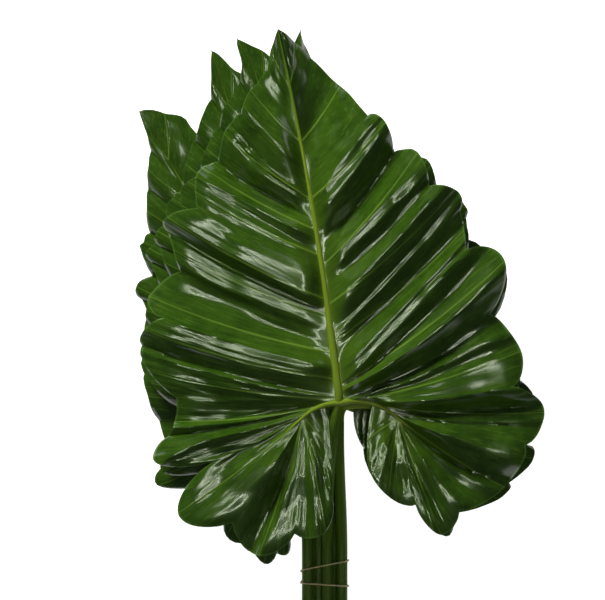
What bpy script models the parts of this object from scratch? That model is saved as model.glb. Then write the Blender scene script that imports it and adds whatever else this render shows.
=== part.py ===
"""A bunch of five cut philodendron leaves, laid down face up and held by a thin band.

Metres, +Z up. The tips point along +Y, the cut stalks along -Y. Each leaf is one solid:
the blade, its midrib, two basal ribs and the petiole have grown as one.
"""
import bpy
import bmesh
import math
from mathutils import Vector

for old in list(bpy.data.objects):
    bpy.data.objects.remove(old, do_unlink=True)

# The leaf's outline, from the point where petiole, midrib and basal ribs meet.
# One row a vein: where it leaves the spine (a distance up the midrib, or below zero out
# along the basal rib and back), the bump that it ends in, the notch after it, and how deep
# the valley at that notch is.
TIP = (-0.0465, 0.281)
LEFT_VEINS = [
    (0.240, (-0.052, 0.264), (-0.054, 0.249), 1.0),
    (0.198, (-0.067, 0.235), (-0.074, 0.217), 1.0),
    (0.154, (-0.087, 0.202), (-0.091, 0.181), 1.0),
    (0.131, (-0.103, 0.177), (-0.108, 0.169), 0.3),
    (0.112, (-0.109, 0.159), (-0.107, 0.146), 1.0),
    (0.078, (-0.130, 0.140), (-0.128, 0.128), 0.4),
    (0.066, (-0.126, 0.116), (-0.120, 0.099), 1.0),
    (0.038, (-0.143, 0.080), (-0.133, 0.064), 1.0),
    (0.018, (-0.147, 0.055), (-0.149, 0.043), 0.4),
    (0.003, (-0.144, 0.024), (-0.123, 0.004), 1.0),
    (-0.012, (-0.124, -0.014), (-0.129, -0.025), 0.3),
    (-0.022, (-0.137, -0.046), (-0.095, -0.044), 1.0),
    (-0.029, (-0.122, -0.083), (-0.086, -0.093), 1.0),
    (-0.033, (-0.060, -0.115), (-0.031, -0.100), 0.8),
    (-0.037, (-0.011, -0.097), (-0.006, -0.070), 0.5),
    (-0.042, (-0.007, -0.042), (-0.0140, -0.0045), 0.3),
]
RIGHT_VEINS = [
    (0.240, (-0.034, 0.272), (-0.022, 0.2600), 0.8),
    (0.198, (0.000, 0.2385), (0.019, 0.2140), 1.0),
    (0.155, (0.032, 0.209), (0.040, 0.188), 1.0),
    (0.103, (0.062, 0.188), (0.070, 0.164), 1.0),
    (0.074, (0.087, 0.160), (0.091, 0.146), 0.3),
    (0.046, (0.0935, 0.130), (0.095, 0.115), 1.0),
    (0.012, (0.127, 0.103), (0.115, 0.066), 1.0),
    (-0.004, (0.135, 0.041), (0.132, 0.021), 1.0),
    (-0.028, (0.154, -0.007), (0.139, -0.032), 1.0),
    (-0.042, (0.124, -0.064), (0.090, -0.081), 0.9),
    (-0.047, (0.076, -0.099), (0.057, -0.077), 0.9),
    (-0.053, (0.036, -0.070), (0.022, -0.049), 0.6),
    (-0.061, (0.0205, -0.028), (0.0245, -0.002), 0.3),
]
# Behind the top leaf the left lobes stand away from the stalks that pass through the sinus.
OPEN_LEFT_VEINS = LEFT_VEINS[:13] + [
    (-0.0305, (-0.066, -0.112), (-0.050, -0.095), 0.8),
    (-0.0315, (-0.042, -0.080), (-0.034, -0.058), 0.5),
    (-0.0325, (-0.029, -0.036), (-0.024, -0.014), 0.3),
]
LEFT_RIB = ((-0.016, 0.0), (-0.028, -0.011), 0.030)
RIGHT_RIB = ((0.024, 0.006), (0.044, -0.012), 0.0435)
MIDRIB_BOW = 0.0036
THICK = 0.0009

# The five leaves, top one first: junction, turn, size, width of the left and right half,
# height of the blade's crown, strength of the pleats, stalk at the band and at its cut end.
LEAVES = [
    dict(name="leaf_1", at=(0.0, 0.0), turn=0.0, size=1.0, wide=(1.0, 1.0), level=0.0715,
         pleat=1.0, tie=(-0.0090, 0.0162), cut=(-0.0108, -0.2990, 0.0112), early=3.0, droop=0.009),
    dict(name="leaf_2", at=(0.004, -0.003), turn=-2.2, size=1.0, wide=(1.0, 0.95), level=0.0618,
         pleat=0.7, tie=(0.0015, 0.0162), cut=(0.0062, -0.3060, 0.0047), early=3.0, droop=0.009),
    dict(name="leaf_3", at=(-0.005, 0.0), turn=4.9, size=0.985, wide=(0.96, 1.0), level=0.0490,
         pleat=0.7, tie=(-0.00375, 0.00835), cut=(-0.0040, -0.2950, 0.0038), early=1.0, droop=0.009),
    dict(name="leaf_4", at=(-0.014, -0.006), turn=7.7, size=0.98, wide=(0.87, 1.0), level=0.0373,
         pleat=0.7, tie=(-0.0156, 0.0080), cut=(-0.0175, -0.3020, 0.0038), early=1.0, droop=0.009),
    dict(name="leaf_5", at=(-0.030, -0.009), turn=18.3, size=0.9, wide=(0.7, 1.0), level=0.0235,
         pleat=0.7, tie=(-0.02475, 0.0115), cut=(-0.0290, -0.2975, 0.0048), early=1.0, droop=0.0135),
]
STALK_RADIUS = 0.0044
TIE_FROM, TIE_TO = -0.112, -0.148

axis = Vector(TIP).normalized()
across = Vector((axis.y, -axis.x))


def midrib(distance):
    """A point on the midrib, bowed a little to the right."""
    part = distance / Vector(TIP).length
    return Vector(TIP) * part + across * (MIDRIB_BOW * math.sin(math.pi * min(part, 1.0)))


def rib(side, part):
    """A point on a basal rib, 0 at the junction and 1 where its veins fan out."""
    bend, end, _ = LEFT_RIB if side < 0 else RIGHT_RIB
    return Vector(bend) * (2 * part * (1 - part)) + Vector(end) * part * part


def foot(side, distance):
    """Where a line of the blade leaves the spine; the last ones all leave the rib's end."""
    if distance >= 0.0:
        return midrib(distance) - across * (0.00035 * side)
    part = -distance / (LEFT_RIB if side < 0 else RIGHT_RIB)[2]
    return rib(side, part if part < 0.93 else 1.0)


def dome(x, y):
    """The whole bunch sags from its crown to all sides."""
    return -0.022 * (((x + 0.020) / 0.160) ** 2 + ((y - 0.060) / 0.230) ** 2)


def line_ends(veins, side, s):
    """Foot and margin of the blade's line s; whole numbers are the notches."""
    row = min(int(s), len(veins) - 1)
    f = s - row
    notches = [TIP] + [v[2] for v in veins]
    feet = [Vector(TIP).length]
    feet += [0.5 * (a[0] + b[0]) for a, b in zip(veins, veins[1:])]
    feet += [veins[-1][0]]
    a, b, peak = Vector(notches[row]), Vector(notches[row + 1]), Vector(veins[row][1])
    margin = a.lerp(b, f)
    if 0.0 < f < 1.0:
        margin += (peak - (a + b) / 2) * math.sin(math.pi * f) ** 0.65
    near = feet[row] if f < 0.5 else feet[row + 1]
    blend = abs(2 * f - 1)
    return foot(side, veins[row][0] * (1 - blend) + near * blend), margin


def veins_of(leaf, side):
    if side > 0:
        return RIGHT_VEINS
    return LEFT_VEINS if leaf["name"] == "leaf_1" else OPEN_LEFT_VEINS


def crest(veins, side, row, t):
    """How high the pleat of one vein stands over its valleys."""
    a0, a1 = line_ends(veins, side, row)
    b0, b1 = line_ends(veins, side, row + 1)
    return min(0.29 * (a0.lerp(a1, t) - b0.lerp(b1, t)).length, 0.0090)


def surface(leaf, side, s, t):
    """A point of the blade's upper face: s runs round the margin, t from spine to margin."""
    veins = veins_of(leaf, side)
    start, margin = line_ends(veins, side, s)
    reach = margin - start
    wide = leaf["wide"][0 if side < 0 else 1]
    reach = axis * reach.dot(axis) + across * (reach.dot(across) * wide)
    length = reach.length
    flat = start + reach * t
    if length > 1e-6:
        back = Vector((reach.y, -reach.x)) * (1.0 if side < 0 else -1.0)
        bow = 0.12 * min(1.0, (len(veins) - s) / 5)
        if veins is not OPEN_LEFT_VEINS:
            bow += 0.7 * max(0.0, s - len(veins) + 1) ** 2
        flat -= back * (bow * t * (1 - t))
    row = min(int(s), len(veins) - 1)
    f = s - row
    top = crest(veins, side, row, t)
    if f < 0.5:
        other = crest(veins, side, row - 1, t) if row else 0.0
        deep = veins[row - 1][3] if row else 1.0
    else:
        other = crest(veins, side, row + 1, t) if row + 1 < len(veins) else 0.0
        deep = veins[row][3]
    valley = (1 - deep) * 0.35 * (top + other)
    wave = valley + (top - valley) * abs(math.sin(math.pi * f)) ** 0.9
    grown = 1 - math.exp(-(length * t / 0.025) ** 2)
    reachy = min(1.0, length / 0.110)
    hump = 0.0045 * (t / 0.4) * math.exp(1 - t / 0.4) - leaf["droop"] * t ** 3
    lift = wave * grown * leaf["pleat"] + hump * reachy
    turn = math.radians(leaf["turn"])
    x = leaf["at"][0] + leaf["size"] * (flat.x * math.cos(turn) - flat.y * math.sin(turn))
    y = leaf["at"][1] + leaf["size"] * (flat.x * math.sin(turn) + flat.y * math.cos(turn))
    return Vector((x, y, max(leaf["level"] + dome(x, y) + lift, THICK)))


def on_leaf(leaf, flat):
    turn = math.radians(leaf["turn"])
    x = leaf["at"][0] + leaf["size"] * (flat.x * math.cos(turn) - flat.y * math.sin(turn))
    y = leaf["at"][1] + leaf["size"] * (flat.x * math.sin(turn) + flat.y * math.cos(turn))
    return Vector((x, y, max(leaf["level"] + dome(x, y), THICK)))


def add_object(name, mesh_edit):
    mesh = bpy.data.meshes.new(name)
    mesh_edit.to_mesh(mesh)
    mesh_edit.free()
    item = bpy.data.objects.new(name, mesh)
    bpy.context.scene.collection.objects.link(item)
    return item


def half_blade(leaf, side, steps, rows):
    veins = veins_of(leaf, side)
    columns = len(veins) * steps
    sheet = bmesh.new()
    bmesh.ops.create_grid(sheet, x_segments=columns, y_segments=len(rows) - 1, size=0.5)
    for v in sheet.verts:
        s = (v.co.x + 0.5) * len(veins)
        t = rows[int(round((v.co.y + 0.5) * (len(rows) - 1)))]
        v.co = surface(leaf, side, min(max(s, 0.0), float(len(veins))), t)
    bmesh.ops.remove_doubles(sheet, verts=sheet.verts, dist=0.00012)
    bmesh.ops.dissolve_degenerate(sheet, edges=sheet.edges, dist=0.00005)
    bmesh.ops.triangulate(sheet, faces=sheet.faces)
    lower = bmesh.ops.extrude_face_region(sheet, geom=sheet.faces[:])
    moved = [e for e in lower["geom"] if isinstance(e, bmesh.types.BMVert)]
    bmesh.ops.translate(sheet, verts=moved, vec=(0.0, 0.0, -THICK))
    bmesh.ops.recalc_face_normals(sheet, faces=sheet.faces)
    return add_object(leaf["name"] + "_half", sheet)


def tube(name, path, sides=8, closed=False):
    """A round stalk through (x, y, z, radius), one facet straight down, flat where it lies."""
    rod = bmesh.new()
    rings = []
    count = len(path)
    for i, (x, y, z, r) in enumerate(path):
        a = Vector(path[(i - 1) % count][:3]) if closed or i else Vector(path[0][:3])
        b = Vector(path[(i + 1) % count][:3]) if closed or i < count - 1 else Vector(path[-1][:3])
        along = (b - a).normalized()
        if closed:
            out = along.cross(Vector((0.0, 1.0, 0.0))).normalized()
            second = along.cross(out).normalized()
        else:
            out = along.cross(Vector((0.0, 0.0, 1.0))).normalized()
            second = out.cross(along).normalized()
        ring = []
        for k in range(sides):
            angle = 2 * math.pi * (k + 0.5) / sides
            spot = Vector((x, y, z)) + out * (r * math.cos(angle)) + second * (r * math.sin(angle))
            ring.append(rod.verts.new((spot.x, spot.y, max(spot.z, 0.0))))
        rings.append(ring)
    pairs = list(zip(rings, rings[1:]))
    if closed:
        pairs.append((rings[-1], rings[0]))
    for one, two in pairs:
        for k in range(sides):
            rod.faces.new((one[k], one[(k + 1) % sides], two[(k + 1) % sides], two[k]))
    if not closed:
        rod.faces.new(rings[0])
        rod.faces.new(rings[-1])
    bmesh.ops.recalc_face_normals(rod, faces=rod.faces)
    return add_object(name, rod)


def stalk_path(leaf):
    """The midrib from the tip down, and the petiole on to its cut end."""
    path = []
    length = Vector(TIP).length
    for i in range(13):
        part = 1.004 - 0.99 * (i / 12.0) ** 0.9
        distance = length * part
        spot = on_leaf(leaf, midrib(distance))
        radius = leaf["size"] * (0.0009 + 0.0024 * max(1 - part, 0.0) ** 1.2)
        z = max(spot.z - THICK / 2 - 0.35 * (radius - 0.0009), radius * 0.93 + 0.0002)
        path.append((spot.x, spot.y, z, radius))
    x0, y0, z0, r0 = path[-1]
    tie_x, tie_z = leaf["tie"]
    steps = 9
    for i in range(1, steps + 1):
        t = i / steps
        smooth = t * t * (3 - 2 * t)
        side_way = 1 - (1 - t) ** leaf["early"] if leaf["early"] > 1 else smooth
        fall = 0.55 * smooth + 0.45 * t
        path.append((x0 + (tie_x - x0) * side_way, y0 + (TIE_FROM - y0) * t,
                     z0 + (tie_z - z0) * fall, r0 + (STALK_RADIUS - r0) * min(1.0, 6 * t)))
    path.append((tie_x, TIE_TO, tie_z, STALK_RADIUS))
    cut_x, cut_y, cut_z = leaf["cut"]
    flat_from = cut_y + 0.032
    for i in range(1, 5):
        t = i / 4.0
        smooth = t * t * (3 - 2 * t)
        path.append((tie_x + (cut_x - tie_x) * smooth, TIE_TO + (flat_from - TIE_TO) * t,
                     tie_z + (cut_z - tie_z) * smooth, STALK_RADIUS))
    path.append((cut_x, cut_y, cut_z, STALK_RADIUS))
    return path


def rib_path(leaf, side):
    """A basal rib from inside the junction to just past the fan of its veins."""
    path = []
    for i in range(6):
        part = i / 5.0
        spot = on_leaf(leaf, rib(side, part))
        radius = leaf["size"] * (0.0030 - 0.0014 * part)
        path.append((spot.x, spot.y, spot.z - THICK / 2 - 0.0006 * (1 - part), radius))
    s = 12.5 if side < 0 else 9.5
    for t, radius in ((0.06, 0.0011), (0.14, 0.00045)):
        spot = surface(leaf, side, s, t)
        path.append((spot.x, spot.y, spot.z - THICK / 2, radius))
    return path


def joined(name, pieces, material):
    """One solid from pieces that have grown together."""
    group = bpy.data.collections.new(name + "_pieces")
    for piece in pieces[1:]:
        bpy.context.scene.collection.objects.unlink(piece)
        group.objects.link(piece)
    whole = pieces[0]
    whole.name = name
    union = whole.modifiers.new("union", "BOOLEAN")
    union.operation = "UNION"
    union.solver = "EXACT"
    union.operand_type = "COLLECTION"
    union.collection = group
    bpy.context.view_layer.update()
    graph = bpy.context.evaluated_depsgraph_get()
    mesh = bpy.data.meshes.new_from_object(whole.evaluated_get(graph))
    whole.modifiers.clear()
    whole.data = mesh
    for piece in pieces[1:]:
        bpy.data.objects.remove(piece, do_unlink=True)
    bpy.data.collections.remove(group)
    mesh.name = name
    mesh.materials.clear()
    mesh.materials.append(material)
    return whole


def paint(name, colour, roughness):
    material = bpy.data.materials.new(name)
    material.use_nodes = True
    shader = material.node_tree.nodes["Principled BSDF"]
    shader.inputs["Base Color"].default_value = (*colour, 1.0)
    shader.inputs["Roughness"].default_value = roughness
    return material


# The five leaves.
for number, leaf in enumerate(LEAVES):
    steps = 4 if number == 0 else 3
    rows = [0.0, 0.15, 0.38, 0.68, 1.0] if number == 0 else [0.0, 0.28, 0.64, 1.0]
    green = paint(leaf["name"] + "_green", (0.025 + 0.004 * number, 0.085, 0.012), 0.3)
    solids = [
        tube(leaf["name"] + "_stalk", stalk_path(leaf)),
        half_blade(leaf, -1, steps, rows),
        half_blade(leaf, 1, steps, rows),
        tube(leaf["name"] + "_left_rib", rib_path(leaf, -1)),
        tube(leaf["name"] + "_right_rib", rib_path(leaf, 1)),
    ]
    joined(leaf["name"], solids, green)

# The band: two turns of one thin ring round the five petioles. The run that comes back
# underneath crosses the other one and stands off from it there.
BAND_RADIUS = 0.0006
clear = STALK_RADIUS + 0.0003 + BAND_RADIUS
centres = [Vector(leaf["tie"]) for leaf in LEAVES]
loop = []
for i in range(28):
    angle = 2 * math.pi * i / 28
    way = Vector((math.cos(angle), math.sin(angle)))
    best = max(centres, key=lambda c: c.dot(way))
    spot = best + way * clear
    if not loop or (spot - loop[-1]).length > 0.0009:
        loop.append(spot)
lengths = [0.0]
for a, b in zip(loop, loop[1:] + loop[:1]):
    lengths.append(lengths[-1] + (b - a).length)
right = 0
left = min(range(len(loop)), key=lambda k: loop[k].x)
heights = [(-0.1190, -0.1275), (-0.1275, -0.1390), (-0.1390, -0.1365), (-0.1365, -0.1190)]
path = []
for turn_number in (0, 1):
    for k, spot in enumerate(loop):
        over = k < left
        start, end = (lengths[right], lengths[left]) if over else (lengths[left], lengths[-1])
        part = (lengths[k] - start) / (end - start)
        a, b = heights[2 * turn_number + (0 if over else 1)]
        way = Vector((0.0, 0.0))
        if turn_number == 1 and not over:
            normal = (loop[(k + 1) % len(loop)] - loop[k - 1]).normalized()
            way = Vector((normal.y, -normal.x)) * (0.0017 * math.exp(-((part - 0.31) / 0.15) ** 2))
        path.append((spot.x + way.x, a + (b - a) * part, spot.y + way.y, BAND_RADIUS))
band = tube("rubber_band", path, sides=6, closed=True)
band.data.materials.append(paint("band_beige", (0.30, 0.22, 0.09), 0.5))

# Origin under the middle of the whole bunch, on the surface that it lies on.
low = Vector((1e9, 1e9, 1e9))
high = Vector((-1e9, -1e9, -1e9))
for item in bpy.context.scene.collection.objects:
    for v in item.data.vertices:
        low = Vector(map(min, low, v.co))
        high = Vector(map(max, high, v.co))
shift = Vector((-(low.x + high.x) / 2, -(low.y + high.y) / 2, -low.z))
for item in bpy.context.scene.collection.objects:
    for v in item.data.vertices:
        v.co += shift
    item.data.update()
    print(item.name, len(item.data.vertices), len(item.data.polygons))
print("shift", shift, "size", high - low)
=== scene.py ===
import bpy
import bmesh
import math
from functools import lru_cache
from mathutils import Vector, Matrix, noise


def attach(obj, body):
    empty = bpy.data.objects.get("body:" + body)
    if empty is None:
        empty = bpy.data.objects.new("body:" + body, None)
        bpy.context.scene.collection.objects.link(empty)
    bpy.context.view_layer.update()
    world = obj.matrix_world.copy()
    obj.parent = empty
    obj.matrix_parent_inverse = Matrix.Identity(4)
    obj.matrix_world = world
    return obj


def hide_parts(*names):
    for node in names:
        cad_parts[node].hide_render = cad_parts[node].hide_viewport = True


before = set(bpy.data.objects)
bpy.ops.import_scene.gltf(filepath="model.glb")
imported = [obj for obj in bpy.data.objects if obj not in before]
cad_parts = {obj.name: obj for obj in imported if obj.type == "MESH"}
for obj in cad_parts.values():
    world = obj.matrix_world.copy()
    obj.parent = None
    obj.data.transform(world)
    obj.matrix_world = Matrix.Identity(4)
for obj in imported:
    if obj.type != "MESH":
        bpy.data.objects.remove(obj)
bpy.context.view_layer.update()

# The blades
# Each is one thick, waxy, heart-shaped leaf blade, pleated between its side veins and
# scalloped at its margin. It has grown from the midrib and from two basal ribs. The top
# leaf's folds are each their own; the lower ones have plain pleats.
SHIFT = Vector((0.00057449, 0.01182565, 0.0))  # from the top leaf's junction to the origin
TIP = Vector((-0.0465, 0.281))
THICK = 0.0009
# Foot of each side vein on the spine, the bump that it ends in, the notch after it, its depth.
LEFT_VEINS = [
    (0.240, (-0.052, 0.264), (-0.054, 0.249), 1.0),
    (0.198, (-0.067, 0.235), (-0.074, 0.217), 1.0),
    (0.154, (-0.087, 0.202), (-0.091, 0.181), 1.0),
    (0.131, (-0.103, 0.177), (-0.108, 0.169), 0.3),
    (0.112, (-0.109, 0.159), (-0.107, 0.146), 1.0),
    (0.078, (-0.130, 0.140), (-0.128, 0.128), 0.4),
    (0.066, (-0.126, 0.116), (-0.120, 0.099), 1.0),
    (0.038, (-0.143, 0.080), (-0.133, 0.064), 1.0),
    (0.018, (-0.147, 0.055), (-0.149, 0.043), 0.4),
    (0.003, (-0.144, 0.024), (-0.123, 0.004), 1.0),
    (-0.012, (-0.124, -0.014), (-0.129, -0.025), 0.3),
    (-0.022, (-0.137, -0.046), (-0.095, -0.044), 1.0),
    (-0.029, (-0.122, -0.083), (-0.081, -0.0905), 1.0),
    (-0.033, (-0.061, -0.1145), (-0.034, -0.0985), 0.8),
    (-0.037, (-0.011, -0.097), (-0.006, -0.070), 0.5),
    (-0.042, (-0.0055, -0.040), (-0.0085, -0.0040), 0.3),
]
RIGHT_VEINS = [
    (0.240, (-0.034, 0.272), (-0.022, 0.2600), 0.8),
    (0.198, (0.000, 0.2385), (0.021, 0.2160), 1.0),
    (0.155, (0.034, 0.211), (0.040, 0.188), 1.0),
    (0.103, (0.058, 0.188), (0.067, 0.163), 1.0),
    (0.074, (0.087, 0.160), (0.091, 0.146), 0.3),
    (0.046, (0.0935, 0.130), (0.095, 0.115), 1.0),
    (0.012, (0.124, 0.107), (0.113, 0.067), 1.0),
    (-0.004, (0.136, 0.039), (0.1305, 0.0125), 1.0),
    (-0.028, (0.154, -0.007), (0.139, -0.032), 1.0),
    (-0.042, (0.124, -0.064), (0.090, -0.081), 0.9),
    (-0.047, (0.076, -0.099), (0.057, -0.077), 0.9),
    (-0.053, (0.036, -0.070), (0.022, -0.049), 0.6),
    (-0.061, (0.0205, -0.028), (0.0245, -0.002), 0.3),
]
OPEN_LEFT_VEINS = LEFT_VEINS[:13] + [
    (-0.0305, (-0.066, -0.112), (-0.050, -0.095), 0.8),
    (-0.0315, (-0.042, -0.080), (-0.034, -0.058), 0.5),
    (-0.0325, (-0.029, -0.036), (-0.024, -0.014), 0.3),
]
# The lower leaves' lobes by the stalks are cut back, so that the gap there stays open.
VEINS = {
    "leaf_1": (LEFT_VEINS, RIGHT_VEINS),
    "leaf_2": (OPEN_LEFT_VEINS, [
        (0.240, (-0.040, 0.268), (-0.029, 0.254), 0.8),
        (0.198, (-0.008, 0.2315), (0.010, 0.2080), 1.0),
        (0.155, (0.025, 0.204), (0.035, 0.185), 1.0)] + RIGHT_VEINS[3:8] + [
        (-0.028, (0.150, -0.004), (0.1425, -0.0225), 0.6),
        (-0.035, (0.149, -0.033), (0.130, -0.052), 0.6),
        (-0.042, (0.121, -0.065), (0.088, -0.077), 0.9),
        (-0.047, (0.078, -0.094), (0.060, -0.068), 0.9),
        (-0.053, (0.040, -0.060), (0.024, -0.046), 0.6),
        (-0.061, (0.0205, -0.028), (0.0245, -0.002), 0.3)]),
    "leaf_3": (OPEN_LEFT_VEINS[:12] + [
        (-0.029, (-0.120, -0.074), (-0.084, -0.085), 1.0),
        (-0.0305, (-0.066, -0.108), (-0.050, -0.095), 0.8),
        (-0.0315, (-0.042, -0.080), (-0.034, -0.058), 0.5),
        (-0.022, (-0.018, -0.036), (-0.0035, -0.018), 0.3)], RIGHT_VEINS),
    "leaf_4": (OPEN_LEFT_VEINS[:9] + [
        (0.003, (-0.150, 0.026), (-0.142, 0.006), 1.0),
        (-0.012, (-0.138, -0.012), (-0.134, -0.026), 0.3),
        (-0.022, (-0.150, -0.043), (-0.100, -0.048), 1.0),
        (-0.029, (-0.116, -0.066), (-0.082, -0.080), 1.0)] + OPEN_LEFT_VEINS[13:], RIGHT_VEINS[:10] + [
        (-0.047, (0.080, -0.097), (0.064, -0.074), 0.8),
        (-0.053, (0.049, -0.060), (0.034, -0.038), 0.5),
        (-0.061, (0.0250, -0.024), (0.0255, 0.000), 0.3)]),
    "leaf_5": (OPEN_LEFT_VEINS, [(0.240, (-0.029, 0.277), (-0.013, 0.264), 0.6)] + RIGHT_VEINS[1:10] + [
        (-0.047, (0.082, -0.095), (0.070, -0.078), 0.8),
        (-0.053, (0.060, -0.066), (0.051, -0.048), 0.5),
        (-0.061, (0.0455, -0.033), (0.0480, -0.014), 0.3)]),
}
# Crests and valleys of the top leaf: line at the spine, halfway and at the margin, and the
# height in mm near the spine and at the margin.
LEFT_FOLDS = [
    (0, 0, 0, 3.8, 3.8), (1.2, 1.2, 1.15, 6.1, 6.1), (1.95, 1.90, 1.84, 15.0, 16.5),
    (2.44, 2.42, 2.30, 8.4, 8.4), (2.50, 2.48, 2.36, 9.6, 9.8), (2.56, 2.55, 2.42, 8.0, 8.0),
    (2.62, 2.61, 2.48, 9.0, 9.0), (3.22, 3.13, 3.06, -1, -1), (3.95, 3.72, 4, 11.4, 12.9),
    (4.45, 4.1, 4.1, 6.8, 12.2), (4.52, 4.52, 4.72, 8.7, 13.3), (4.6, 4.64, 4.88, 8.9, 13.3),
    (5.42, 5.24, 5.3, 16.7, 14.5), (5.46, 5.33, 5.38, 15.8, 13.7), (5.52, 5.42, 5.46, 16, 14.1),
    (6.22, 6, 5.95, 5.7, 7.5), (6.34, 6.1, 6.05, 6.8, 7.8), (6.45, 6.25, 6.2, 5.9, 6.5),
    (6.62, 6.8, 6.86, 7.4, 6.1), (7.28, 7.12, 7.08, 0.8, 0.8), (8.2, 7.98, 8.08, 13.3, 14.8),
    (8.62, 8.5, 8.5, 12.5, 14.1), (9.3, 9.09, 9.04, 6.5, 6.8), (9.44, 9.19, 9.13, 9.1, 9.9),
    (9.6, 9.36, 9.3, 7.6, 8), (10, 10.38, 10.54, 0.4, 0), (10.5, 10.62, 10.7, 3, 6.1),
    (10.95, 10.86, 11, 1.5, 1.9), (11.6, 11.14, 11.54, 8.7, 10.6), (11.75, 11.34, 11.68, 6.5, 7.2),
    (12, 12, 12, 3.8, 3.8), (12.4, 12.4, 12.35, 7.2, 7.2), (13.05, 12.98, 12.84, 9.9, 11),
    (13.4, 13.4, 13.35, 1.1, 1.5), (13.85, 13.66, 13.5, 6.5, 6.8), (14.1, 14.1, 14.1, 5.3, 5.3),
    (14.4, 14.35, 14.3, 8.5, 9.0), (15, 15, 15, 2.0, 2.0), (15.5, 15.5, 15.5, -2.0, -2.0),
    (16, 16, 16, -5, -5),
]
RIGHT_FOLDS = [
    (0, 0, 0, 4.5, 4.0), (0.35, 0.35, 0.35, 4.5, 3.5), (1.55, 1.46, 1.4, -4.5, -6.0),
    (1.62, 1.53, 1.48, -3.5, -4.0), (2, 1.9, 1.9, 6.5, 6.0), (2.66, 2.34, 2.31, 11.8, 12.5),
    (2.7, 2.5, 2.42, 11, 10.8), (2.74, 2.68, 2.54, 11.8, 12.5), (2.98, 2.79, 2.7, 9.1, 9.9),
    (3.18, 3.14, 3, 0.4, 0.4), (3.52, 3.56, 3.77, 11, 13.3), (3.56, 3.65, 3.81, 10.3, 12.5),
    (3.6, 3.73, 3.85, 10.6, 13.1), (4, 4, 3.94, 4.9, 9.1), (4.66, 4.31, 4.22, 12.2, 13.7),
    (5.3, 4.88, 4.6, 4.9, 7.0), (5.38, 4.98, 4.7, 6.3, 7.6), (5.75, 5.5, 5.38, 0.8, 1.6),
    (6.2, 5.92, 5.74, 9.1, 8.9), (6.3, 6, 5.86, 8, 8.0), (6.42, 6.11, 6, 8.7, 9.6),
    (6.6, 6.34, 6.2, 3, 4.6), (6.74, 6.7, 6.56, 12.2, 14.1), (7.12, 7.08, 7.06, 1.5, 2.7),
    (7.26, 7.22, 7.26, 6.8, 9.1), (7.38, 7.36, 7.38, 5.3, 6.8), (7.9, 7.57, 7.56, 8.7, 9.5),
    (8.08, 8.03, 8.06, 12, 12.5), (8.6, 8.44, 8.3, 3, 4), (8.95, 8.74, 8.62, 7.5, 8),
    (9, 8.79, 8.67, 6.7, 7.2), (9.2, 9.1, 9.16, 12, 14), (9.62, 9.6, 9.4, 0.5, 1),
    (9.72, 9.68, 9.55, 3.5, 5), (9.8, 9.8, 9.72, 2.5, 3.5), (10.1, 10, 9.95, 7.5, 9.5),
    (10.6, 10.35, 10.3, 4, 6), (11.35, 10.7, 10.62, 8.5, 10), (11.45, 10.8, 10.72, 6.5, 8),
    (11.8, 11.3, 11.2, 4, 4.5), (12.1, 11.8, 11.7, 7.5, 8), (12.5, 12.4, 12.4, 4.6, 4.6),
    (13, 13, 13, 0.9, 0.9),
]
# The top leaf first. at: junction, turn: degrees, wide: of the left and right half, level: height
# of the junction, droop: fall at the margin, hook: the tip's bend to one side, dip: fall by the
# tip, tie and cut: the petiole at the band and at its end, early: how soon it swings to the tie,
# sway: its swing to one side before that.
LEAVES = [
    dict(name="leaf_1", at=(0.0, 0.0), turn=0.0, size=1.0, wide=(1.0, 1.0), level=0.0715,
         droop=0.0065, hook=(0.0, 0.0), early=3.0,
         tie=(-0.0090, 0.0162), cut=(-0.0108, -0.2990, 0.0112)),
    dict(name="leaf_2", at=(0.004, -0.003), turn=-2.2, size=1.0, wide=(1.0, 0.95), level=0.0618,
         droop=0.0065, hook=(0.002, 0.001), dip=0.0063, early=3.0, sway=-0.0042,
         tie=(0.0015, 0.0162), cut=(0.0062, -0.3060, 0.0047)),
    dict(name="leaf_3", at=(-0.005, 0.0), turn=4.1, size=0.985, wide=(0.96, 1.0), level=0.0480,
         droop=0.0065, hook=(-0.007, 0.0020), early=1.0,
         tie=(-0.00375, 0.00835), cut=(-0.0040, -0.2950, 0.0038)),
    dict(name="leaf_4", at=(-0.014, -0.006), turn=7.7, size=0.98, wide=(0.87, 1.0), level=0.0360,
         droop=0.0065, hook=(0.0, 0.0050), early=1.0,
         tie=(-0.0156, 0.0080), cut=(-0.0175, -0.3020, 0.0038)),
    dict(name="leaf_5", at=(-0.030, -0.009), turn=18.3, size=0.9, wide=(0.7, 1.0), level=0.0235,
         droop=0.0135, hook=(-0.002, 0.0030), early=1.0,
         tie=(-0.0241, 0.0115), cut=(-0.0290, -0.2975, 0.0048)),
]
UPPER = ("leaf_1", "leaf_2")
up_leaf = TIP.normalized()
over_leaf = Vector((up_leaf.y, -up_leaf.x))
MIDRIB_BOW = 0.0036
# The left and the right basal rib: bend, end, and the length that its veins' feet count by.
BASAL_RIBS = (((-0.016, 0.0), (-0.028, -0.011), 0.030),
              ((0.024, 0.006), (0.044, -0.012), 0.0435))
LAST_FEET = 0.93  # feet past this part of a rib start at its end
HALVES_OVERLAP = 0.00035
SCALLOP_ROUND = 0.65
MARGIN_WAVE = 0.012
PLEAT_SLOPE, PLEAT_LIMIT, PLEAT_STRENGTH = 0.29, 0.0090, 0.7
CREST_ROUND, VALLEY_SHARE = 0.9, 0.35
FOLD_SCALE, FOLD_ROUND, FOLD_FULL_WIDTH = 1.12, 0.35, 0.021
HOOK_REACH = 0.012
DOME_AT, DOME_REACH, DOME_FALL = (-0.020, 0.060), (0.160, 0.230), 0.022
DIP_FROM, DIP_LENGTH = 0.17, 0.09
HUMP, HUMP_AT = 0.0045, 0.4
FULL_LENGTH = 0.110
SPINE_HOLLOW = 0.0050
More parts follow.
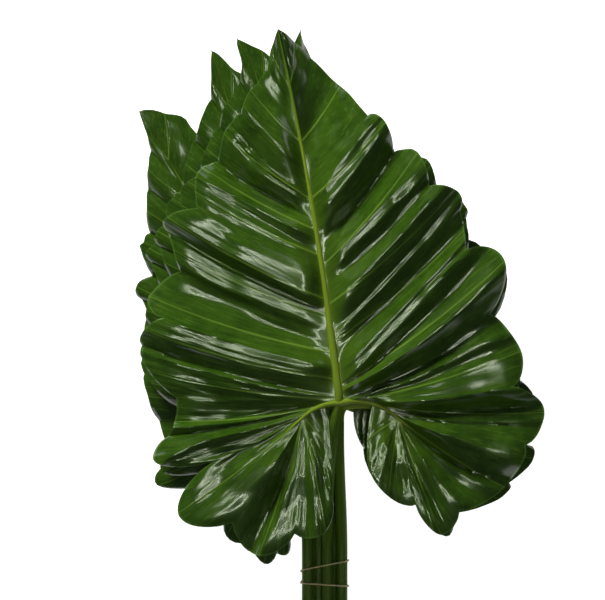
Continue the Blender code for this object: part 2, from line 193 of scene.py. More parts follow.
# Heights of the small shapes in the top leaf's skin, and in the lower ones'.
RIPPLE, FINE_RIPPLE, CRUMPLE, DENT, CREASE = 0.00012, 0.00004, 0.0006, 0.00007, 0.00030
LOW_RIPPLE, LOW_CREASE = 0.00018, 0.0005
CEILING, CEILING_ROUND = 0.0780, 0.0042
FLOOR_FROM, FLOOR_ROUND = 0.0140, 0.0030


def clamped(value):
    return min(max(value, 0.0), 1.0)


def ease(value):
    """0 up to 0, 1 from 1 on, and a smooth slope between them."""
    value = clamped(value)
    return value * value * (3 - 2 * value)


def bell(distance, width):
    """1 at no distance, and next to nothing at twice the width."""
    return math.exp(-(distance / width) ** 2)


def midrib(distance):
    """The spine's point at this distance from the junction, on the flat pattern."""
    part = distance / TIP.length
    return TIP * part + over_leaf * (MIDRIB_BOW * math.sin(math.pi * min(part, 1.0)))


def basal_rib(side, part):
    bend, end, _ = BASAL_RIBS[side > 0]
    return Vector(bend) * (2 * part * (1 - part)) + Vector(end) * part * part


def vein_foot(side, distance):
    """Where a side vein starts: on the midrib or, where distance is negative, on the basal rib."""
    if distance >= 0.0:
        return midrib(distance) - over_leaf * (HALVES_OVERLAP * side)
    part = -distance / BASAL_RIBS[side > 0][2]
    return basal_rib(side, part if part < LAST_FEET else 1.0)


@lru_cache(maxsize=None)
def vein_line(name, side, s):
    """Foot and margin end of one line across the blade; whole numbers are the notches."""
    veins = VEINS[name][side > 0]
    row = min(int(s), len(veins) - 1)
    f = s - row
    notches = [TIP] + [v[2] for v in veins]
    feet = [TIP.length] + [0.5 * (a[0] + b[0]) for a, b in zip(veins, veins[1:])] + [veins[-1][0]]
    a, b, peak = Vector(notches[row]), Vector(notches[row + 1]), Vector(veins[row][1])
    margin = a.lerp(b, f)
    if 0.0 < f < 1.0:
        full = 1.0 if name in UPPER or side > 0 else min(0.35 + 0.10 * s, 1.0)
        margin += (peak - (a + b) / 2) * (full * math.sin(math.pi * f) ** SCALLOP_ROUND)
    wave = noise.noise(Vector((2.7 * s, 10.0 + side, 3.0 * int(name[-1]))))
    margin *= 1 + MARGIN_WAVE * min(1.0, 2 * s) * wave
    near = feet[row] if f < 0.5 else feet[row + 1]
    blend = abs(2 * f - 1)
    return vein_foot(side, veins[row][0] * (1 - blend) + near * blend), margin


@lru_cache(maxsize=None)
def scallop_gap(name, side, row, t):
    """Width of one scallop at t, in metres."""
    a0, a1 = vein_line(name, side, float(row))
    b0, b1 = vein_line(name, side, float(row + 1))
    return (a0.lerp(a1, t) - b0.lerp(b1, t)).length


def plain_pleats(leaf, side, s, t):
    """Height of a lower leaf's pleats: a crest along each vein, a valley out to each notch."""
    veins = VEINS[leaf["name"]][side > 0]
    row = min(int(s), len(veins) - 1)
    f = s - row
    tops = [min(PLEAT_SLOPE * scallop_gap(leaf["name"], side, r, t), PLEAT_LIMIT)
            if 0 <= r < len(veins) else 0.0 for r in (row - 1, row, row + 1)]
    other = tops[0] if f < 0.5 else tops[2]
    deep = veins[row][3] if f >= 0.5 else veins[row - 1][3] if row else 1.0
    valley = (1 - deep) * VALLEY_SHARE * (tops[1] + other)
    return valley + (tops[1] - valley) * abs(math.sin(math.pi * f)) ** CREST_ROUND


def top_folds(side, s, t):
    """Height of the top leaf's folds: straight flanks, with crests and valleys a little round."""
    folds = LEFT_FOLDS if side < 0 else RIGHT_FOLDS
    line = [a * (2 * t - 1) * (t - 1) + b * 4 * t * (1 - t) + c * t * (2 * t - 1)
            for a, b, c, _, _ in folds]
    k = 0
    while k < len(folds) - 2 and s > line[k + 1]:
        k += 1
    f = clamped((s - line[k]) / max(line[k + 1] - line[k], 0.001))
    f += FOLD_ROUND * (ease(f) - f)
    low, high = (folds[i][3] + (folds[i][4] - folds[i][3]) * t for i in (k, k + 1))
    height = 0.001 * (low + (high - low) * f)
    # Folds are lower where their lines crowd together by the spine.
    rows = len(LEFT_VEINS if side < 0 else RIGHT_VEINS)
    place = min(max(s - 0.5, 0.0), rows - 1.001)
    row = int(place)
    gap = scallop_gap("leaf_1", side, row, t)
    gap += (scallop_gap("leaf_1", side, row + 1, t) - gap) * (place - row)
    return FOLD_SCALE * height * min(1.0, gap / FOLD_FULL_WIDTH)


def top_relief(side, s, t, flat, far):
    """The top leaf's folds, with the ripples, crumples and creases of its skin."""
    rows = len(VEINS["leaf_1"][side > 0])
    wander = noise.noise(Vector((flat.x * 24, flat.y * 24, 5.0 + side)))
    wander = 0.05 * wander * min(s / 0.5, (rows - s) / 0.5, 1.0)
    root = 0.013 + 0.004 * clamped((s - 4) / 3)
    root *= 1 + 0.6 * noise.noise(Vector((1.3 * s, 0.0, 50.0 + side)))
    folds = top_folds(side, s + wander, t) * (1 - bell(far, root))
    ripple = math.sin(2 * math.pi * (2.9 * s + 0.5 * math.sin(1.7 * s) + 0.4 * t + 0.2 * side))
    fine = math.sin(2 * math.pi * (6.7 * s + 0.6 * math.sin(2.3 * s + side) - 0.5 * t))
    strong = 0.35 + 0.65 * max(0.0, noise.noise(Vector((flat.x * 30, flat.y * 30, 11.0))) + 0.4)
    crumple = noise.noise(Vector((flat.x * 55, flat.y * 55, 3.0 * side)))
    dent = noise.noise(Vector((flat.x * 130, flat.y * 130, 7.0 + side)))
    crease = 1 - 2 * abs(noise.noise(Vector((4.5 * s, 2.2 * t, 20.0 + side))))
    crease += 0.5 - abs(noise.noise(Vector((9.0 * s, 4.0 * t, 30.0 + side))))
    # The lobes by the stalks have more creases and a calmer skin.
    lobe = clamped((s - 7) / 1.5)
    crease *= (1 + 1.6 * lobe) * min(t / (0.15 + 0.25 * lobe), 1.0) ** 2
    skin_height = ((RIPPLE * ripple + FINE_RIPPLE * fine) * strong
                   + CRUMPLE * (1 - 0.4 * lobe) * crumple
                   + DENT * (1 - 0.6 * lobe) * dent + CREASE * crease)
    return folds + (1 - bell(far, 0.010 + 0.012 * lobe)) * skin_height


def low_relief(leaf, side, s, t, far, inner, by_tip):
    """A lower leaf's pleats, flatter along the spine and by the tip, with a ripple and creases."""
    strength = PLEAT_STRENGTH * (1 - (0.8 if leaf["name"] == "leaf_2" else 0.3) * inner)
    strength *= 1 - 0.8 * by_tip
    pleats = plain_pleats(leaf, side, s, t) * (1 - bell(far, 0.025)) * strength
    ripple = math.sin(2 * math.pi * (2.9 * s + 0.5 * math.sin(1.9 * s) + 0.3 * t))
    crease = 1 - 2 * abs(noise.noise(Vector((4.5 * s, 2.2 * t, 40.0 + side + leaf["turn"]))))
    return pleats + (LOW_RIPPLE * ripple + LOW_CREASE * crease) * (1 - bell(far, 0.012))


def on_leaf(leaf, flat):
    """Lifts a point of the flat pattern to its place on the leaf's dome, tip bent to one side."""
    flat = flat + Vector(leaf["hook"]) * bell((flat - TIP).length, HOOK_REACH)
    turn = math.radians(leaf["turn"])
    x = leaf["at"][0] + leaf["size"] * (flat.x * math.cos(turn) - flat.y * math.sin(turn))
    y = leaf["at"][1] + leaf["size"] * (flat.x * math.sin(turn) + flat.y * math.cos(turn))
    dome = -DOME_FALL * (((x - DOME_AT[0]) / DOME_REACH[0]) ** 2
                         + ((y - DOME_AT[1]) / DOME_REACH[1]) ** 2)
    dip = leaf.get("dip", 0.0) * ease((flat.y - DIP_FROM) / DIP_LENGTH)
    return Vector((x, y, leaf["level"] + dome - dip))


def blade_point(leaf, side, s, t):
    """A point of the blade's upper face: s runs round the margin, t from the spine outwards."""
    rows = len(VEINS[leaf["name"]][side > 0])
    top_leaf = leaf["name"] == "leaf_1"
    upper = leaf["name"] in UPPER
    start, margin = vein_line(leaf["name"], side, s)
    reach = margin - start
    across = reach.dot(over_leaf) * leaf["wide"][side > 0]
    reach = up_leaf * reach.dot(up_leaf) + over_leaf * across
    length = reach.length
    far = length * t
    # The line bows a little, and more in the last scallop by the stalks.
    bow = 0.12 * min(1.0, (rows - s) / 5)
    if side > 0 or top_leaf:
        bow += 0.7 * max(0.0, s - rows + 1) ** 2
    flat = start + reach * t - Vector((reach.y, -reach.x)) * (-side * bow * t * (1 - t))
    spot = on_leaf(leaf, flat)
    hump = (0.0 if upper else HUMP) * (t / HUMP_AT) * math.exp(1 - t / HUMP_AT)
    grown = min(1.0, length / FULL_LENGTH)
    rise = (hump - leaf["droop"] * t ** 3) * grown
    inner = ease(t / 0.3) * (1 - ease((t - 0.65) / 0.3))
    by_tip = clamped((1.75 - s) / 0.45) if upper and side > 0 else 0.0
    rise -= (0.009 if top_leaf else 0.0075) * t * ease(by_tip) * min(1.0, length / 0.030)
    if top_leaf:
        rise += top_relief(side, s, t, flat, far) - SPINE_HOLLOW * inner * grown
    else:
        rise += low_relief(leaf, side, s, t, far, inner, by_tip)
    # The heights end softly at the top of the stack and at the surface underneath.
    z = spot.z + rise
    if z > CEILING:
        z = CEILING + CEILING_ROUND * (1 - math.exp(-(z - CEILING) / CEILING_ROUND))
    if z < FLOOR_FROM:
        z = THICK + FLOOR_ROUND * math.log(1 + math.exp((z - THICK) / FLOOR_ROUND))
    return Vector((spot.x, spot.y, z))


def finished(name, edit, material):
    """The piece: a smooth-shaded mesh at the origin, in the bunch's own frame."""
    bmesh.ops.translate(edit, verts=edit.verts, vec=SHIFT)
    for face in edit.faces:
        face.smooth = True
    mesh = bpy.data.meshes.new(name)
    edit.to_mesh(mesh)
    edit.free()
    mesh.materials.append(material)
    piece = bpy.data.objects.new(name, mesh)
    bpy.context.scene.collection.objects.link(piece)
    return piece


SHEET = 0.8 * THICK
SAME_POINT, SLIVER = 0.00008, 0.00003
SHARP_FOLD = 1.0
# Length of the fade from the junction to the tip, and widths along the spine of the paler heart,
# which is painted light, and of the darker strip by the tip, which is painted shade.
JUNCTION_FADE, PAINTED_LIGHT_WIDTH, PAINTED_SHADE_WIDTH = 0.26, 0.030, 0.026


def blade(leaf, steps, rows):
    """Two half blades merged along the spine, with an underside, and the values for the skin."""
    name = leaf["name"]
    whole = bpy.data.meshes.new("halves")
    for side in (-1, 1):
        sheet = bmesh.new()
        if side > 0:
            sheet.from_mesh(whole)
        layers = sheet.verts.layers.float
        line, out, vein, rib, painted_light_heart, dull_and_painted_shade = [
            layers.get(label) or layers.new(label)
            for label in ("line", "out", "vein", "rib", "painted_light_heart", "dull_and_painted_shade")]
        count = len(VEINS[name][side > 0])
        grid = bmesh.ops.create_grid(sheet, x_segments=count * steps, y_segments=rows, size=0.5)
        for v in grid["verts"]:
            s = round((v.co.x + 0.5) * count * steps) / steps
            t = round((v.co.y + 0.5) * rows) / rows
            v.co = blade_point(leaf, side, s, t)
            v[line] = s + 30.0 * (side > 0)  # the right half has streaks of its own
            v[out] = t
            row = min(int(s), count - 1)
            v[vein] = 1000 * abs(s - row - 0.5) * scallop_gap(name, side, row, t)
            foot, end = vein_line(name, side, s)
            full = clamped(1 - foot.dot(up_leaf) / JUNCTION_FADE)
            away = (end - foot).length * t
            v[rib] = (0.25 + 0.75 * full) * bell(away, 0.0008 + 0.0032 * full)
            # Painted light: a paler heart along the spine by the junction.
            v[painted_light_heart] = full * bell(away, PAINTED_LIGHT_WIDTH)
            # Painted shade: a darker strip along the spine on the right half of the top leaf by its
            # tip.
            if side > 0 and name == "leaf_1":
                v[dull_and_painted_shade] = clamped((1.7 - s) / 0.3) * max(0.3, math.exp(-(away / PAINTED_SHADE_WIDTH) ** 4))
        bmesh.ops.remove_doubles(sheet, verts=grid["verts"], dist=SAME_POINT)
        sheet.to_mesh(whole)
        sheet.free()
    sheet = bmesh.new()
    sheet.from_mesh(whole)
    bpy.data.meshes.remove(whole)
    bmesh.ops.dissolve_degenerate(sheet, edges=sheet.edges, dist=SLIVER)
    bmesh.ops.recalc_face_normals(sheet, faces=sheet.faces)
    if sum(f.normal.z for f in sheet.faces) < 0:
        bmesh.ops.reverse_faces(sheet, faces=sheet.faces)
    under = sheet.verts.layers.float.new("under")
    lower = bmesh.ops.extrude_face_region(sheet, geom=sheet.faces[:])
    moved = [e for e in lower["geom"] if isinstance(e, bmesh.types.BMVert)]
    for v in moved:
        v[under] = 1.0
    bmesh.ops.translate(sheet, verts=moved, vec=(0.0, 0.0, -SHEET))
    bmesh.ops.recalc_face_normals(sheet, faces=sheet.faces)
    for edge in sheet.edges:
        if edge.is_manifold and edge.calc_face_angle(0.0) > SHARP_FOLD:
            edge.smooth = False
    return sheet


# The waxy skin: side veins, fine parallel streaks, blotches and a faint grain.
def new_group(name, outputs):
    group = bpy.data.node_groups.new(name, "ShaderNodeTree")
    for label in outputs:
        group.interface.new_socket(label, in_out="OUTPUT", socket_type="NodeSocketFloat")
    return group


def add(tree, kind, **values):
    node = tree.nodes.new("ShaderNode" + kind)
    for key, value in values.items():
        setattr(node, key, value)
    return node


def maths(tree, operation, a, b=None, c=None, clamp=False):
    node = add(tree, "Math", operation=operation, use_clamp=clamp)
    for slot, value in enumerate((a, b, c)):
        if isinstance(value, (int, float)):
            node.inputs[slot].default_value = value
        elif value is not None:
            tree.links.new(value, node.inputs[slot])
    return node.outputs[0]


def blend(tree, factor, a, b):
    node = add(tree, "Mix", data_type="RGBA")
    for slot, value in ((0, factor), (6, a), (7, b)):
        if isinstance(value, tuple):
            node.inputs[slot].default_value = (*value, 1.0)
        elif isinstance(value, (int, float)):
            node.inputs[slot].default_value = value
        else:
            tree.links.new(value, node.inputs[slot])
    return node.outputs[2]


def grain(tree, coordinates, scale, detail=2.0, rough=0.5):
    node = add(tree, "TexNoise")
    node.inputs["Scale"].default_value = scale
    node.inputs["Detail"].default_value = detail
    node.inputs["Roughness"].default_value = rough
    tree.links.new(coordinates, node.inputs["Vector"])
    return node.outputs["Fac"]


def attribute(tree, name):
    return add(tree, "Attribute", attribute_name=name).outputs["Fac"]


def scaled(tree, value, factor, offset, clamp=True):
    """value * factor + offset, kept between 0 and 1 unless clamp is off."""
    return maths(tree, "MULTIPLY_ADD", value, factor, offset, clamp=clamp)


def bell_mask(tree, value):
    """exp(-value * value), for a value in widths from the middle."""
    squared = maths(tree, "MULTIPLY", value, value)
    return maths(tree, "EXPONENT", maths(tree, "MULTIPLY", squared, -1.0))


skin = new_group("leaf_skin", ("Vein", "Streak", "Fine", "Blotch", "Rim", "Speck", "Height"))
line_at, out_at, vein_at = (attribute(skin, label) for label in ("line", "out", "vein"))
place = add(skin, "TexCoord").outputs["Object"]
# Streaks run along the veins and get closer towards the spine.
along = add(skin, "CombineXYZ")
skin.links.new(maths(skin, "MULTIPLY", line_at, 9.0), along.inputs[0])
skin.links.new(maths(skin, "MULTIPLY", out_at, 2.2), along.inputs[1])
streak = grain(skin, along.outputs[0], 1.0, 3.0, 0.55)
fine_streak = grain(skin, along.outputs[0], 3.1, 2.0, 0.5)
blotch = grain(skin, place, 70.0, 4.0, 0.6)
speck = grain(skin, place, 900.0, 2.0, 0.6)
# A vein is 0.85 mm to each side, thins towards the margin, and is sunk between low shoulders.
half_width = maths(skin, "SUBTRACT", 0.85, maths(skin, "MULTIPLY", out_at, 0.50))
vein_mask = bell_mask(skin, maths(skin, "DIVIDE", vein_at, half_width))
vein_mask = maths(skin, "MULTIPLY", vein_mask, scaled(skin, out_at, -0.5, 1.0, False))
shoulder = bell_mask(skin, maths(skin, "DIVIDE", maths(skin, "SUBTRACT", vein_at, 1.5), 0.75))
rim = maths(skin, "MULTIPLY", maths(skin, "SUBTRACT", out_at, 0.984), 90.0, clamp=True)
# The streaks' relief fades out by the spine, where the highlights are narrow.
streak_height = maths(skin, "ADD", maths(skin, "MULTIPLY", streak, 0.12),
                      maths(skin, "MULTIPLY", fine_streak, 0.04))
height = maths(skin, "MULTIPLY", streak_height, scaled(skin, out_at, 2.2, 0.05))
for relief, strength in ((shoulder, 0.10), (vein_mask, -0.06), (speck, 0.02)):
    height = maths(skin, "ADD", height, maths(skin, "MULTIPLY", relief, strength))
result = skin.nodes.new("NodeGroupOutput")
for slot, value in enumerate((vein_mask, streak, fine_streak, blotch, rim, speck, height)):
    skin.links.new(value, result.inputs[slot])
SPECK_GREEN, THREAD_GREEN = (0.010, 0.030, 0.0015), (0.085, 0.155, 0.020)
PAINTED_SHADE_GREEN, PAINTED_LIGHT_GREEN = (0.007, 0.022, 0.001), (0.066, 0.130, 0.008)
VEIN_GREEN, RIM_GREEN = (0.120, 0.215, 0.024), (0.10, 0.20, 0.04)
RIB_GREEN, UNDER_GREEN = (0.130, 0.200, 0.012), (0.075, 0.160, 0.035)


def leaf_green(name, deep, mid, fresh, rim):
    """Waxy green: patches from deep to mid, fresh streaks, threads, painted shade by the tip, painted
    light by the junction, then veins, rim and ribs.
    """
    material = bpy.data.materials.new(name)
    material.use_nodes = True
    tree = material.node_tree
    shader = tree.nodes["Principled BSDF"]
    waxy = tree.nodes.new("ShaderNodeGroup")
    waxy.node_tree = skin
    under_at = attribute(tree, "under")
    colour = blend(tree, scaled(tree, waxy.outputs["Blotch"], 2.6, -0.85), deep, mid)
    for mask, share, paint in (
            (scaled(tree, waxy.outputs["Speck"], 3.0, -1.1), 0.35, SPECK_GREEN),
            (scaled(tree, waxy.outputs["Streak"], 3.0, -1.15), 0.45, fresh),
            (scaled(tree, waxy.outputs["Fine"], 9.0, -5.0), 0.30, THREAD_GREEN),
            # painted shade: the darker strip by the tip
            (attribute(tree, "dull_and_painted_shade"), 0.88, PAINTED_SHADE_GREEN),
            # painted light: the paler heart by the junction
            (attribute(tree, "painted_light_heart"), 0.50, PAINTED_LIGHT_GREEN),
            (waxy.outputs["Vein"], 0.85, VEIN_GREEN),
            (waxy.outputs["Rim"], rim, RIM_GREEN),
            (attribute(tree, "rib"), 0.9, RIB_GREEN),
            (under_at, 1.0, UNDER_GREEN)):
        colour = blend(tree, maths(tree, "MULTIPLY", mask, share), colour, paint)
    tree.links.new(colour, shader.inputs["Base Color"])
    rough = scaled(tree, waxy.outputs["Blotch"], 0.20, 0.09, False)
    rough = maths(tree, "ADD", rough, maths(tree, "MULTIPLY", under_at, 0.25))
    tree.links.new(rough, shader.inputs["Roughness"])
    shader.inputs["IOR"].default_value = 1.5
    shader.inputs["Specular IOR Level"].default_value = 0.5
    bump = add(tree, "Bump")
    bump.inputs["Distance"].default_value = 0.001
    bump.inputs["Strength"].default_value = 1.0
    tree.links.new(waxy.outputs["Height"], bump.inputs["Height"])
    tree.links.new(bump.outputs[0], shader.inputs["Normal"])
    return material


top_green = leaf_green("top_leaf_green", (0.0125, 0.038, 0.0022), (0.0310, 0.079, 0.0044),
                       (0.044, 0.104, 0.0070), 0.35)
# The lower leaves' green is darker than the top leaf's: painted shade for lying under the leaves above.
low_green_painted_shade = leaf_green("low_leaf_green_painted_shade", (0.013, 0.038, 0.0022), (0.023, 0.060, 0.0036),
                       (0.036, 0.084, 0.0058), 0.12)
# Steps in each scallop, and from the spine to the margin.
TOP_GRID, LOW_GRID = (22, 60), (10, 32)
for leaf in LEAVES:
    top_leaf = leaf["name"] == "leaf_1"
    sheet = blade(leaf, *(TOP_GRID if top_leaf else LOW_GRID))
    piece = finished(leaf["name"] + "_blade", sheet, top_green if top_leaf else low_green_painted_shade)
    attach(piece, "root")
    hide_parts(leaf["name"])


# The stalks
# Each is the leaf's own petiole, a firm fleshy rod cut off square at its end. It runs on
# without a joint as the midrib, which thins out to the tip, and throws off two basal ribs.
STALK_RADIUS = 0.0044
TIE_FROM, TIE_TO = -0.112, -0.148
TIP_RADIUS, MIDRIB_SWELL = 0.0009, 0.0032
REST_LENGTH = 0.032
RIB_RADIUS, RIB_TAPER = 0.0026, 0.0014
# The rib runs out along a vein: place on it and radius there.
RIB_ENDS = ((0.06, 0.0011), (0.14, 0.00045))
RIB_VEIN = {-1: 12.5, 1: 9.5}


def stalk_path(leaf):
    """The midrib from the tip down, the petiole to the tie and through it, and on to its end."""
    path = []
    for i in range(61):
        part = 1.004 - 0.99 * (i / 60.0) ** 0.9
        spot = on_leaf(leaf, midrib(TIP.length * part))
        left_over = max(1 - part, 0.0)
        radius = leaf["size"] * (TIP_RADIUS + MIDRIB_SWELL * left_over ** 1.5)
        radius *= min(1.0, 0.25 + 6 * left_over)
        z = max(spot.z, THICK) - THICK / 2 - 0.55 * (radius - TIP_RADIUS)
        path.append((spot.x, spot.y, max(z, radius * 0.93 + 0.0002), radius))
    x0, y0, z0, r0 = path[-1]
    tie_x, tie_z = leaf["tie"]
    for i in range(1, 31):
        t = i / 30.0
        side_way = 1 - (1 - t) ** leaf["early"] if leaf["early"] > 1 else ease(t)
        sway = leaf.get("sway", 0.0) * min(t / 0.08, 1.0) * (1 - ease(t))
        path.append((x0 + (tie_x - x0) * side_way + sway, y0 + (TIE_FROM - y0) * t,
                     z0 + (tie_z - z0) * (0.55 * ease(t) + 0.45 * t),
                     r0 + (STALK_RADIUS - r0) * min(1.0, 6 * t)))
    for i in range(1, 5):
        path.append((tie_x, TIE_FROM + (TIE_TO - TIE_FROM) * i / 4.0, tie_z, STALK_RADIUS))
    cut_x, cut_y, cut_z = leaf["cut"]
    rest_from = cut_y + REST_LENGTH
    for i in range(1, 13):
        t = i / 12.0
        path.append((tie_x + (cut_x - tie_x) * ease(t), TIE_TO + (rest_from - TIE_TO) * t,
                     tie_z + (cut_z - tie_z) * ease(t), STALK_RADIUS))
    path.append((cut_x, cut_y, cut_z, STALK_RADIUS))
    return path


def rib_path(leaf, side):
    """A basal rib from inside the junction to the vein that it runs out in."""
    path = []
    for i in range(13):
        part = i / 12.0
        spot = on_leaf(leaf, basal_rib(side, part))
        radius = leaf["size"] * (RIB_RADIUS - RIB_TAPER * part)
        path.append((spot.x, spot.y, max(spot.z, 0.003) - 0.35 * radius, radius))
    for t, radius in RIB_ENDS:
        spot = blade_point(leaf, side, RIB_VEIN[side], t)
        path.append((spot.x, spot.y, spot.z - THICK / 2, radius))
    return path


def sweep(edit, path, sides, run=0.0):
    """Carries one ring along a path of (x, y, z, radius), closing both ends.

    The flesh values are the place on the ring and the run along the path in centimetres."""
    layers = edit.verts.layers.float_vector
    flesh = layers.get("flesh") or layers.new("flesh")
    ring = bmesh.ops.create_circle(edit, cap_ends=True, segments=sides, radius=1.0)["verts"]
    for v in ring:
        v[flesh] = (v.co.x, v.co.y, run * 100)
    edges = list({e for v in ring for e in v.link_edges})
    before = Matrix.Identity(4)
    for i, (x, y, z, r) in enumerate(path):
        here = Vector((x, y, z))
        a = Vector(path[max(i - 1, 0)][:3])
        b = Vector(path[min(i + 1, len(path) - 1)][:3])
        way = (b - a).normalized()
        wide = way.cross(Vector((0.0, 0.0, 1.0))).normalized()
        high = wide.cross(way)
        now = Matrix(((wide.x * r, high.x * r, way.x * r, x),
                      (wide.y * r, high.y * r, way.y * r, y),
                      (wide.z * r, high.z * r, way.z * r, z), (0, 0, 0, 1)))
        if i:
            run += (here - last).length
            out = bmesh.ops.extrude_edge_only(edit, edges=edges)["geom"]
            ring = [e for e in out if isinstance(e, bmesh.types.BMVert)]
            edges = [e for e in out if isinstance(e, bmesh.types.BMEdge)]
            for v in ring:
                v[flesh].z = run * 100
        bmesh.ops.transform(edit, matrix=now @ before.inverted(), verts=ring)
        before, last = now, here
    bmesh.ops.contextual_create(edit, geom=edges)


fibre = new_group("stalk_fibre", ("Stripe", "Blotch", "Height"))
flesh_at = add(fibre, "Attribute", attribute_name="flesh").outputs["Vector"]
stretch = add(fibre, "Mapping")
stretch.inputs["Scale"].default_value = (2.6, 2.6, 0.16)
fibre.links.new(flesh_at, stretch.inputs["Vector"])
stripe = grain(fibre, stretch.outputs[0], 2.2, 3.0, 0.6)
patch = grain(fibre, add(fibre, "TexCoord").outputs["Object"], 60.0, 3.0, 0.6)
result = fibre.nodes.new("NodeGroupOutput")
for slot, value in enumerate((stripe, patch, maths(fibre, "MULTIPLY", stripe, 0.5))):
    fibre.links.new(value, result.inputs[slot])


TIP_GREEN = (0.045, 0.095, 0.006)


def stalk_green(name, yellow, dull_and_painted_shade, pale, turn_at):
    """Green by the tip, yellow-green along the midrib, duller green down the petiole."""
    material = bpy.data.materials.new(name)
    material.use_nodes = True
    tree = material.node_tree
    shader = tree.nodes["Principled BSDF"]
    flesh = tree.nodes.new("ShaderNodeGroup")
    flesh.node_tree = fibre
    down = add(tree, "SeparateXYZ")
    tree.links.new(add(tree, "Attribute", attribute_name="flesh").outputs["Vector"], down.inputs[0])
    change = scaled(tree, maths(tree, "SUBTRACT", down.outputs[2], turn_at), 0.30, 0.5)
    grown = scaled(tree, down.outputs[2], 0.13, -0.3)
    colour = blend(tree, change, blend(tree, grown, TIP_GREEN, yellow), dull_and_painted_shade)
    stripes = scaled(tree, flesh.outputs["Stripe"], 3.2, -1.35)
    colour = blend(tree, maths(tree, "MULTIPLY", stripes, 0.6), colour, pale)
    tree.links.new(colour, shader.inputs["Base Color"])
    rough = scaled(tree, flesh.outputs["Blotch"], 0.2, 0.36, False)
    tree.links.new(rough, shader.inputs["Roughness"])
    shader.inputs["Specular IOR Level"].default_value = 0.10
    bump = add(tree, "Bump")
    bump.inputs["Distance"].default_value = 0.0006
    tree.links.new(flesh.outputs["Height"], bump.inputs["Height"])
    tree.links.new(bump.outputs[0], shader.inputs["Normal"])
    return material


PETIOLE_FROM = 28.6  # centimetres down from the tip, where the duller green begins
stalk_material = stalk_green("stalk_flesh", (0.150, 0.225, 0.012), (0.044, 0.100, 0.003),
                             (0.105, 0.180, 0.012), PETIOLE_FROM)
STALK_SIDES, RIB_SIDES = 20, 14
RIB_RUN = 0.12  # the ribs are coloured as the midrib is this far down from the tip
SHARP_END = 0.9
for leaf in LEAVES:
    rod = bmesh.new()
    sweep(rod, stalk_path(leaf), STALK_SIDES)
    sweep(rod, rib_path(leaf, -1), RIB_SIDES, RIB_RUN)
    sweep(rod, rib_path(leaf, 1), RIB_SIDES, RIB_RUN)
    for v in rod.verts:
        v.co.z = max(v.co.z, 0.0)
    bmesh.ops.recalc_face_normals(rod, faces=rod.faces)
    for edge in rod.edges:
        if edge.is_manifold and edge.calc_face_angle(0.0) > SHARP_END:
            edge.smooth = False
    piece = finished(leaf["name"] + "_stalk", rod, stalk_material)
    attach(piece, "root")
    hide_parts(leaf["name"])


# The rubber band
# One thin beige band of rubber, stretched in two turns round the five petioles so that the
# bunch stays together. Only its tension holds it, and its run underneath crosses itself.
BAND_RADIUS = 0.0006
BAND_GAP = 0.0003
LOOP_STEPS, SHORTEST_STEP = 84, 0.0003
# Where the second turn crosses the first underneath: how far it stands off, its place and width.
CROSSING_GAP, CROSSING_AT, CROSSING_WIDTH = 0.0017, 0.31, 0.15
clear = STALK_RADIUS + BAND_GAP + BAND_RADIUS
centres = [Vector(leaf["tie"]) for leaf in LEAVES]
loop = []
for i in range(LOOP_STEPS):
    angle = 2 * math.pi * i / LOOP_STEPS
    way = Vector((math.cos(angle), math.sin(angle)))
    best = max(centres, key=lambda c: c.dot(way))
    spot = best + way * clear
    if not loop or (spot - loop[-1]).length > SHORTEST_STEP:
        loop.append(spot)
lengths = [0.0]
for a, b in zip(loop, loop[1:] + loop[:1]):
    lengths.append(lengths[-1] + (b - a).length)
left = min(range(len(loop)), key=lambda k: loop[k].x)
# Places along the stalks where each run over and under the bunch starts and ends.
runs = [(-0.1190, -0.1275), (-0.1275, -0.1390), (-0.1390, -0.1365), (-0.1365, -0.1190)]
band_path = []
for turn_number in (0, 1):
    for k, spot in enumerate(loop):
        over = k < left
        start, end = (lengths[0], lengths[left]) if over else (lengths[left], lengths[-1])
        part = (lengths[k] - start) / (end - start)
        a, b = runs[2 * turn_number + (0 if over else 1)]
        push = Vector((0.0, 0.0))
        if turn_number == 1 and not over:
            normal = (loop[(k + 1) % len(loop)] - loop[k - 1]).normalized()
            off = CROSSING_GAP * bell(part - CROSSING_AT, CROSSING_WIDTH)
            push = Vector((normal.y, -normal.x)) * off
        band_path.append((spot.x + push.x, a + (b - a) * part, spot.y + push.y))
curve = bpy.data.curves.new("rubber_band_curve", "CURVE")
curve.dimensions = "3D"
curve.bevel_depth = BAND_RADIUS
curve.bevel_resolution = 3
spline = curve.splines.new("POLY")
spline.points.add(len(band_path) - 1)
spline.use_cyclic_u = True
for point, spot in zip(spline.points, band_path):
    point.co = (*(Vector(spot) + SHIFT), 1.0)
holder = bpy.data.objects.new("rubber_band_curve", curve)
bpy.context.scene.collection.objects.link(holder)
bpy.context.view_layer.update()
solid = holder.evaluated_get(bpy.context.evaluated_depsgraph_get())
band_mesh = bpy.data.meshes.new_from_object(solid)
bpy.data.objects.remove(holder, do_unlink=True)
band_mesh.name = "rubber_band_piece"
for face in band_mesh.polygons:
    face.use_smooth = True
band = bpy.data.objects.new("rubber_band_piece", band_mesh)
bpy.context.scene.collection.objects.link(band)
rubber = bpy.data.materials.new("beige_rubber")
rubber.use_nodes = True
tree = rubber.node_tree
shader = tree.nodes["Principled BSDF"]
place = add(tree, "TexCoord").outputs["Object"]
worn = grain(tree, place, 300.0, 3.0, 0.6)
colour = blend(tree, worn, (0.34, 0.27, 0.12), (0.60, 0.50, 0.26))
tree.links.new(colour, shader.inputs["Base Color"])
tree.links.new(scaled(tree, worn, 0.2, 0.38, False), shader.inputs["Roughness"])
bump = add(tree, "Bump")
bump.inputs["Distance"].default_value = 0.0003
tree.links.new(grain(tree, place, 1500.0), bump.inputs["Height"])
tree.links.new(bump.outputs[0], shader.inputs["Normal"])
band_mesh.materials.clear()
band_mesh.materials.append(rubber)
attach(band, "root")
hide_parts("rubber_band")

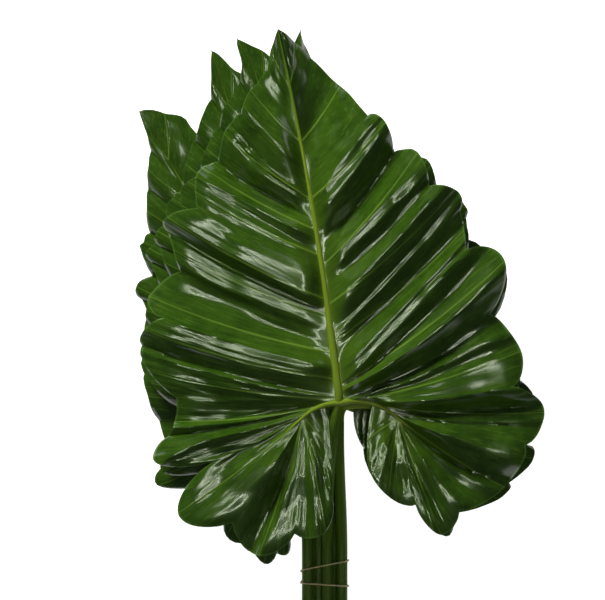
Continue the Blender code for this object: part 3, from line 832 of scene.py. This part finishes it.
# The floor
# A plain white sweep that the bunch lies on, lit so evenly that it photographs as white.
ground = bmesh.new()
FLOOR_REACH = 6.0
bmesh.ops.create_grid(ground, x_segments=1, y_segments=1, size=FLOOR_REACH)
floor_mesh = bpy.data.meshes.new("floor")
ground.to_mesh(floor_mesh)
ground.free()
floor = bpy.data.objects.new("floor", floor_mesh)
bpy.context.scene.collection.objects.link(floor)
white = bpy.data.materials.new("white_floor")
white.use_nodes = True
shader = white.node_tree.nodes["Principled BSDF"]
shader.inputs["Base Color"].default_value = (0.6, 0.6, 0.6, 1.0)
shader.inputs["Roughness"].default_value = 0.9
shader.inputs["Specular IOR Level"].default_value = 0.1
shader.inputs["Emission Color"].default_value = (1.0, 1.0, 1.0, 1.0)
shader.inputs["Emission Strength"].default_value = 0.96
floor_mesh.materials.append(white)


# The light and the camera
# One large soft light from beyond the tips, two weak ones for the shadows, a ring of narrow
# ones for the gloss, and a camera that looks straight down on the bunch.
BUNCH = Vector((-0.02, 0.08, 0.05))
KEY_WHITE, GLOSS_GREEN = (1.0, 1.0, 0.92), (0.92, 1.0, 0.78)
DIFFUSE_ONLY, GLOSS_ONLY = (True, False), (False, True)


def soft_light(name, at, size, power, use):
    """A flat lamp aimed at the bunch. use says whether it gives diffuse and glossy light."""
    lamp = bpy.data.lights.new(name, "AREA")
    lamp.shape = "RECTANGLE"
    lamp.size, lamp.size_y = size
    lamp.energy = power
    lamp.color = KEY_WHITE if use[0] else GLOSS_GREEN
    stand = bpy.data.objects.new(name, lamp)
    stand.location = at
    stand.visible_diffuse, stand.visible_glossy = use
    stand.rotation_euler = (BUNCH - Vector(at)).to_track_quat("-Z", "Y").to_euler()
    bpy.context.scene.collection.objects.link(stand)


soft_light("key_light", (-1.30, 2.60, 1.42), (1.2, 0.8), 155.0, DIFFUSE_ONLY)
soft_light("fill_light", (0.3, -0.6, 3.2), (1.6, 1.6), 7.0, DIFFUSE_ONLY)
soft_light("base_light", (0.12, -0.60, 0.80), (0.5, 0.5), 1.2, DIFFUSE_ONLY)
# A ring of eight narrow lights draws the thin pale lines along the crests of the folds.
RING_X, RING_Y, RING_Z, RING_RADIUS, RING_START = -0.02, 0.05, 2.4, 0.66, 10
RING_SIZE, RING_POWER, RING_COUNT = (0.50, 0.078), 5.3, 8
for k in range(RING_COUNT):
    angle = math.radians(360 // RING_COUNT * k + RING_START)
    at = (RING_X + RING_RADIUS * math.cos(angle), RING_Y + RING_RADIUS * math.sin(angle), RING_Z)
    soft_light("gloss_light_%d" % (k + 1), at, RING_SIZE, RING_POWER, GLOSS_ONLY)
world = bpy.data.worlds.new("studio")
bpy.context.scene.world = world
world.use_nodes = True
world.node_tree.nodes["Background"].inputs[0].default_value = (1.0, 1.0, 1.0, 1.0)
world.node_tree.nodes["Background"].inputs[1].default_value = 0.05

CAMERA_AT = (-0.0275, 0.0891, 8.075)
FOCUS_HEIGHT = 0.075
PICTURE_WIDTH = 0.45375
lens = bpy.data.cameras.new("camera")
lens.sensor_width = 36.0
lens.lens = lens.sensor_width * (CAMERA_AT[2] - FOCUS_HEIGHT) / PICTURE_WIDTH
lens.clip_end = 20.0
view = bpy.data.objects.new("camera", lens)
view.location = CAMERA_AT
bpy.context.scene.collection.objects.link(view)
bpy.context.scene.camera = view
bpy.context.scene.view_settings.view_transform = "Standard"
